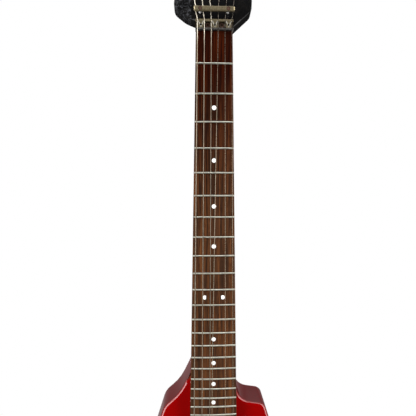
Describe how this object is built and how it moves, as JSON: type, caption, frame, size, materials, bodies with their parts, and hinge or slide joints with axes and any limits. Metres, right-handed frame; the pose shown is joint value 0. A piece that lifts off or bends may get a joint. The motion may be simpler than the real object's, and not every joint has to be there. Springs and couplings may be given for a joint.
{
  "type": "v-shaped electric guitar",
  "caption": "Solid-body electric guitar with a V-shaped body, locking nut, floating tremolo and a rosewood fretboard.",
  "frame": {"origin": "middle of the locking nut's front edge, where the headstock's underside meets a hanger's yoke", "axes": "+Z along the neck towards the headstock, +X to the treble side, +Y into the back of the body"},
  "size_m": [0.3919, 0.1067, 1.1108],
  "materials": {
    "red_gloss": "gloss lacquer over wood",
    "neck_wood": "satin varnish, black gloss on the headstock",
    "rosewood": "oiled",
    "aged_nickel": "worn plating",
    "chrome": "polished",
    "steel": "plain",
    "black_plastic": "satin",
    "cream_plastic": "satin",
    "string_wire": "wound wire"
  },
  "bodies": {
    "guitar": {"body": "red_gloss", "neck": "neck_wood", "fretboard": "rosewood", "nut_base": "aged_nickel", "string_retainer": "aged_nickel", "string_1": "string_wire", "string_2": "string_wire", "string_3": "string_wire", "string_4": "string_wire", "string_5": "string_wire", "string_6": "string_wire", "tuner_housing_1": "chrome", "tuner_housing_2": "chrome", "tuner_housing_3": "chrome", "tuner_housing_4": "chrome", "tuner_housing_5": "chrome", "tuner_housing_6": "chrome", "neck_pickup_ring": "black_plastic", "neck_pickup": "black_plastic", "bridge_pickup_ring": "black_plastic", "bridge_pickup": "black_plastic", "tremolo_stud_bass": "chrome", "tremolo_stud_treble": "chrome", "springs_and_claw": "steel", "spring_cavity_cover": "black_plastic", "control_cavity_cover": "black_plastic", "volume_pot": "steel", "toggle_switch": "steel", "output_jack": "chrome", "strap_button_heel": "chrome", "strap_button_tip": "chrome"},
    "tremolo": {"tremolo_base_plate": "chrome", "saddle_1": "chrome", "saddle_2": "chrome", "saddle_3": "chrome", "saddle_4": "chrome", "saddle_5": "chrome", "saddle_6": "chrome", "sustain_block": "steel"},
    "arm": {"tremolo_arm": "chrome"},
    "fine_tuner_1": {"fine_tuner_1": "chrome"},
    "fine_tuner_2": {"fine_tuner_2": "chrome"},
    "fine_tuner_3": {"fine_tuner_3": "chrome"},
    "fine_tuner_4": {"fine_tuner_4": "chrome"},
    "fine_tuner_5": {"fine_tuner_5": "chrome"},
    "fine_tuner_6": {"fine_tuner_6": "chrome"},
    "tuner_button_1": {"tuner_button_1": "chrome"},
    "tuner_button_2": {"tuner_button_2": "chrome"},
    "tuner_button_3": {"tuner_button_3": "chrome"},
    "tuner_button_4": {"tuner_button_4": "chrome"},
    "tuner_button_5": {"tuner_button_5": "chrome"},
    "tuner_button_6": {"tuner_button_6": "chrome"},
    "tuner_post_1": {"tuner_post_1": "chrome"},
    "tuner_post_2": {"tuner_post_2": "chrome"},
    "tuner_post_3": {"tuner_post_3": "chrome"},
    "tuner_post_4": {"tuner_post_4": "chrome"},
    "tuner_post_5": {"tuner_post_5": "chrome"},
    "tuner_post_6": {"tuner_post_6": "chrome"},
    "volume_knob": {"volume_knob": "black_plastic"},
    "toggle_lever": {"toggle_lever": "cream_plastic"}
  },
  "joints": [
    {"name": "tremolo_tilt", "type": "hinge", "parent": "guitar", "child": "tremolo", "pos_m": [0, 0.0046, -0.645], "axis": [-1, 0, 0], "range_deg": [-6, 14], "stiffness_Nm_per_rad": 14, "deforming": ["string_1", "string_2", "string_3", "string_4", "string_5", "string_6", "springs_and_claw"]},
    {"name": "arm_swing", "type": "hinge", "parent": "tremolo", "child": "arm", "pos_m": [0.0395, 0.0046, -0.662], "axis": [0, -1, 0], "continuous": true},
    {"name": "fine_tuner_turn_1", "type": "hinge", "parent": "tremolo", "child": "fine_tuner_1", "pos_m": [-0.02625, 0, -0.687], "axis": [0, -1, 0], "continuous": true},
    {"name": "fine_tuner_turn_2", "type": "hinge", "parent": "tremolo", "child": "fine_tuner_2", "pos_m": [-0.01575, 0, -0.687], "axis": [0, -1, 0], "continuous": true},
    {"name": "fine_tuner_turn_3", "type": "hinge", "parent": "tremolo", "child": "fine_tuner_3", "pos_m": [-0.00525, 0, -0.687], "axis": [0, -1, 0], "continuous": true},
    {"name": "fine_tuner_turn_4", "type": "hinge", "parent": "tremolo", "child": "fine_tuner_4", "pos_m": [0.00525, 0, -0.687], "axis": [0, -1, 0], "continuous": true},
    {"name": "fine_tuner_turn_5", "type": "hinge", "parent": "tremolo", "child": "fine_tuner_5", "pos_m": [0.01575, 0, -0.687], "axis": [0, -1, 0], "continuous": true},
    {"name": "fine_tuner_turn_6", "type": "hinge", "parent": "tremolo", "child": "fine_tuner_6", "pos_m": [0.02625, 0, -0.687], "axis": [0, -1, 0], "continuous": true},
    {"name": "tuner_button_turn_1", "type": "hinge", "parent": "guitar", "child": "tuner_button_1", "pos_m": [-0.045, 0.04149, 0.06751], "axis": [-1, 0, 0], "continuous": true},
    {"name": "tuner_button_turn_2", "type": "hinge", "parent": "guitar", "child": "tuner_button_2", "pos_m": [-0.045, 0.05049, 0.10648], "axis": [-1, 0, 0], "continuous": true},
    {"name": "tuner_button_turn_3", "type": "hinge", "parent": "guitar", "child": "tuner_button_3", "pos_m": [-0.045, 0.05948, 0.14546], "axis": [-1, 0, 0], "continuous": true},
    {"name": "tuner_button_turn_4", "type": "hinge", "parent": "guitar", "child": "tuner_button_4", "pos_m": [0.045, 0.05948, 0.14546], "axis": [1, 0, 0], "continuous": true},
    {"name": "tuner_button_turn_5", "type": "hinge", "parent": "guitar", "child": "tuner_button_5", "pos_m": [0.045, 0.05049, 0.10648], "axis": [1, 0, 0], "continuous": true},
    {"name": "tuner_button_turn_6", "type": "hinge", "parent": "guitar", "child": "tuner_button_6", "pos_m": [0.045, 0.04149, 0.06751], "axis": [1, 0, 0], "continuous": true},
    {"name": "tuner_post_turn_1", "type": "hinge", "parent": "guitar", "child": "tuner_post_1", "pos_m": [-0.03062, 0.02045, 0.06662], "axis": [0, -0.9744, 0.225], "continuous": true},
    {"name": "tuner_post_turn_2", "type": "hinge", "parent": "guitar", "child": "tuner_post_2", "pos_m": [-0.02586, 0.02944, 0.10559], "axis": [0, -0.9744, 0.225], "continuous": true},
    {"name": "tuner_post_turn_3", "type": "hinge", "parent": "guitar", "child": "tuner_post_3", "pos_m": [-0.02109, 0.03844, 0.14457], "axis": [0, -0.9744, 0.225], "continuous": true},
    {"name": "tuner_post_turn_4", "type": "hinge", "parent": "guitar", "child": "tuner_post_4", "pos_m": [0.02109, 0.03844, 0.14457], "axis": [0, -0.9744, 0.225], "continuous": true},
    {"name": "tuner_post_turn_5", "type": "hinge", "parent": "guitar", "child": "tuner_post_5", "pos_m": [0.02586, 0.02944, 0.10559], "axis": [0, -0.9744, 0.225], "continuous": true},
    {"name": "tuner_post_turn_6", "type": "hinge", "parent": "guitar", "child": "tuner_post_6", "pos_m": [0.03062, 0.02045, 0.06662], "axis": [0, -0.9744, 0.225], "continuous": true},
    {"name": "volume_turn", "type": "hinge", "parent": "guitar", "child": "volume_knob", "pos_m": [0.08, 0.01, -0.716], "axis": [0, -1, 0], "range_deg": [0, 280]},
    {"name": "toggle_throw", "type": "hinge", "parent": "guitar", "child": "toggle_lever", "pos_m": [0.104, 0.0116, -0.768], "axis": [1, 0, 0], "range_deg": [-14, 14]}
  ],
  "couplings": [
    {"joint": "tuner_post_turn_1", "follows": "tuner_button_turn_1", "ratio": 0.071429},
    {"joint": "tuner_post_turn_2", "follows": "tuner_button_turn_2", "ratio": 0.071429},
    {"joint": "tuner_post_turn_3", "follows": "tuner_button_turn_3", "ratio": 0.071429},
    {"joint": "tuner_post_turn_4", "follows": "tuner_button_turn_4", "ratio": 0.071429},
    {"joint": "tuner_post_turn_5", "follows": "tuner_button_turn_5", "ratio": 0.071429},
    {"joint": "tuner_post_turn_6", "follows": "tuner_button_turn_6", "ratio": 0.071429}
  ]
}
